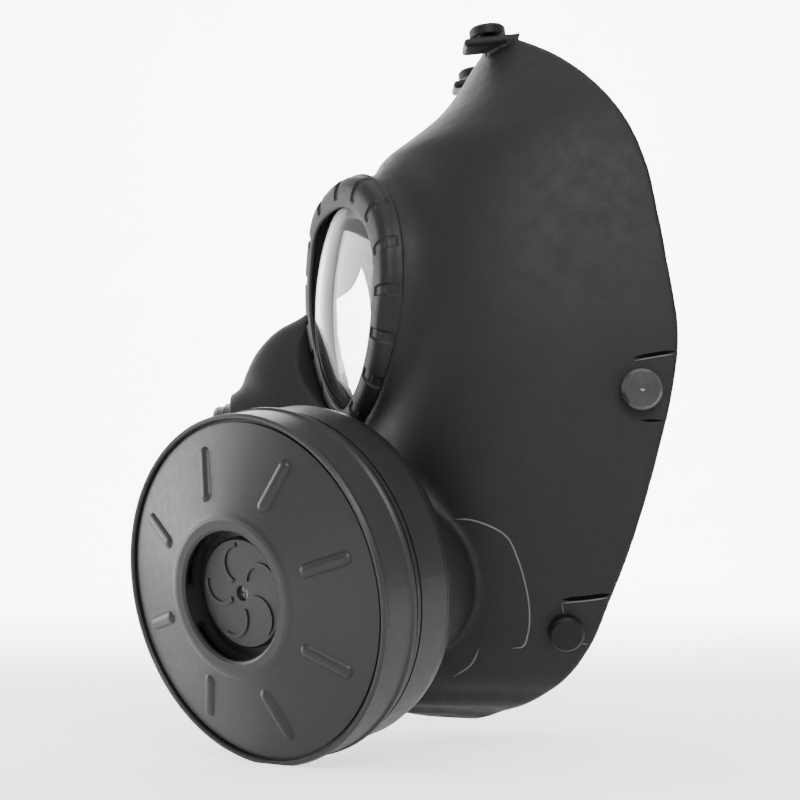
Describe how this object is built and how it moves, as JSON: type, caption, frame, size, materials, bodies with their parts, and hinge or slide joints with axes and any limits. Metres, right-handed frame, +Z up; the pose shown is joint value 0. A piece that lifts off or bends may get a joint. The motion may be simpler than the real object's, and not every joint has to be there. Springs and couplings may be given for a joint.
{
  "type": "powered air respirator",
  "caption": "Full-face rubber respirator mask with two eyepieces, a front outlet valve and a fan-and-filter canister screwed to the left cheek.",
  "frame": {"origin": "middle of the face opening, on the mirror plane", "axes": "+Z up, -Y the way the wearer looks, +X the wearer's left"},
  "size_m": [0.1966, 0.1668, 0.2374],
  "materials": {
    "shell_rubber": "matte, fine moulded grain",
    "seal_foam": "soft closed-cell foam",
    "bezel_rubber": "satin",
    "lens_clear": "clear, glossy",
    "hard_plastic": "fine satin",
    "valve_silicone": "soft, slightly see-through",
    "button_black": "satin",
    "button_clear": "clear, glossy",
    "canister_plastic": "semi-gloss moulded",
    "gasket_rubber": "matte",
    "cover_plastic": "satin moulded",
    "screw_steel": "blackened",
    "filter_foam": "open-cell foam",
    "filter_card": "matte",
    "filter_paper": "pleated paper",
    "motor_can": "drawn steel",
    "fan_plastic": "satin",
    "cell_wrap": "printed wrap, left plain",
    "contact_brass": "plated",
    "board_green": "varnished"
  },
  "bodies": {
    "facepiece": {"face_shell": "shell_rubber", "face_seal": "seal_foam", "left_bezel": "bezel_rubber", "right_bezel": "bezel_rubber", "left_lens": "lens_clear", "right_lens": "lens_clear", "left_lens_ring": "hard_plastic", "right_lens_ring": "hard_plastic", "cheek_port_ring": "hard_plastic", "cheek_port_nut": "hard_plastic", "inhale_valve_seat": "hard_plastic", "outlet_housing": "hard_plastic", "outlet_nut": "hard_plastic", "exhale_valve_seat": "hard_plastic", "left_forehead_button": "button_black", "right_forehead_button": "button_black", "left_temple_button": "button_clear", "right_temple_button": "button_clear", "left_cheek_button": "button_black", "right_cheek_button": "button_black", "button_washers": "hard_plastic"},
    "canister_thread": {"canister_gasket": "gasket_rubber"},
    "canister": {"canister_base": "canister_plastic", "filter_frame": "filter_card", "filter_pleats": "filter_paper", "fan_plate": "hard_plastic", "fan_shroud": "hard_plastic", "fan_screws": "screw_steel", "fan_motor": "motor_can", "battery_cells": "cell_wrap", "battery_contacts": "contact_brass", "control_board": "board_green", "switch_body": "hard_plastic"},
    "cover_thread": {"prefilter_pad": "filter_foam"},
    "cover": {"front_cover": "cover_plastic", "centre_cap": "cover_plastic", "cap_screw": "screw_steel"},
    "impeller": {"impeller": "fan_plastic", "motor_shaft": "screw_steel"},
    "power_button": {"power_button": "button_black"},
    "inhale_flap": {"inhale_flap": "valve_silicone"},
    "exhale_flap": {"exhale_flap": "valve_silicone"},
    "exhale_cover": {"exhale_cover": "hard_plastic"}
  },
  "joints": [
    {"name": "canister_lift", "type": "slide", "parent": "facepiece", "child": "canister_thread", "axis": [0.715, -0.6738, -0.1865], "range_m": [0, 0.00801]},
    {"name": "canister_twist", "type": "hinge", "parent": "canister_thread", "child": "canister", "pos_m": [0.0491, -0.0763, -0.0619], "axis": [0.715, -0.6738, -0.1865], "range_deg": [0, 720]},
    {"name": "cover_lift", "type": "slide", "parent": "canister", "child": "cover_thread", "axis": [0.715, -0.6738, -0.1865], "range_m": [0, 0.00401]},
    {"name": "cover_twist", "type": "hinge", "parent": "cover_thread", "child": "cover", "pos_m": [0.07162, -0.09752, -0.06778], "axis": [0.715, -0.6738, -0.1865], "range_deg": [0, 360]},
    {"name": "impeller_spin", "type": "hinge", "parent": "canister", "child": "impeller", "pos_m": [0.06125, -0.08775, -0.06507], "axis": [0.715, -0.6738, -0.1865], "continuous": true},
    {"name": "power_press", "type": "slide", "parent": "canister", "child": "power_button", "axis": [0.2528, 0.0004, 0.9675], "range_m": [0, 0.0012], "stiffness_N_per_m": 900},
    {"name": "inhale_flap_open", "type": "hinge", "parent": "facepiece", "child": "inhale_flap", "pos_m": [0.04176, -0.06938, -0.04268], "axis": [0.6858, 0.7278, 0], "range_deg": [0, 25], "stiffness_Nm_per_rad": 0.002},
    {"name": "exhale_flap_open", "type": "hinge", "parent": "facepiece", "child": "exhale_flap", "pos_m": [0, -0.1135, -0.0198], "axis": [-1, 0, 0], "range_deg": [0, 14], "stiffness_Nm_per_rad": 0.002},
    {"name": "exhale_cover_twist", "type": "hinge", "parent": "facepiece", "child": "exhale_cover", "pos_m": [0, -0.12, -0.033], "axis": [0, -1, 0], "range_deg": [0, 60]}
  ],
  "couplings": [
    {"joint": "canister_lift", "follows": "canister_twist", "m_per_rad": 0.00063662},
    {"joint": "cover_lift", "follows": "cover_twist", "m_per_rad": 0.00063662}
  ]
}
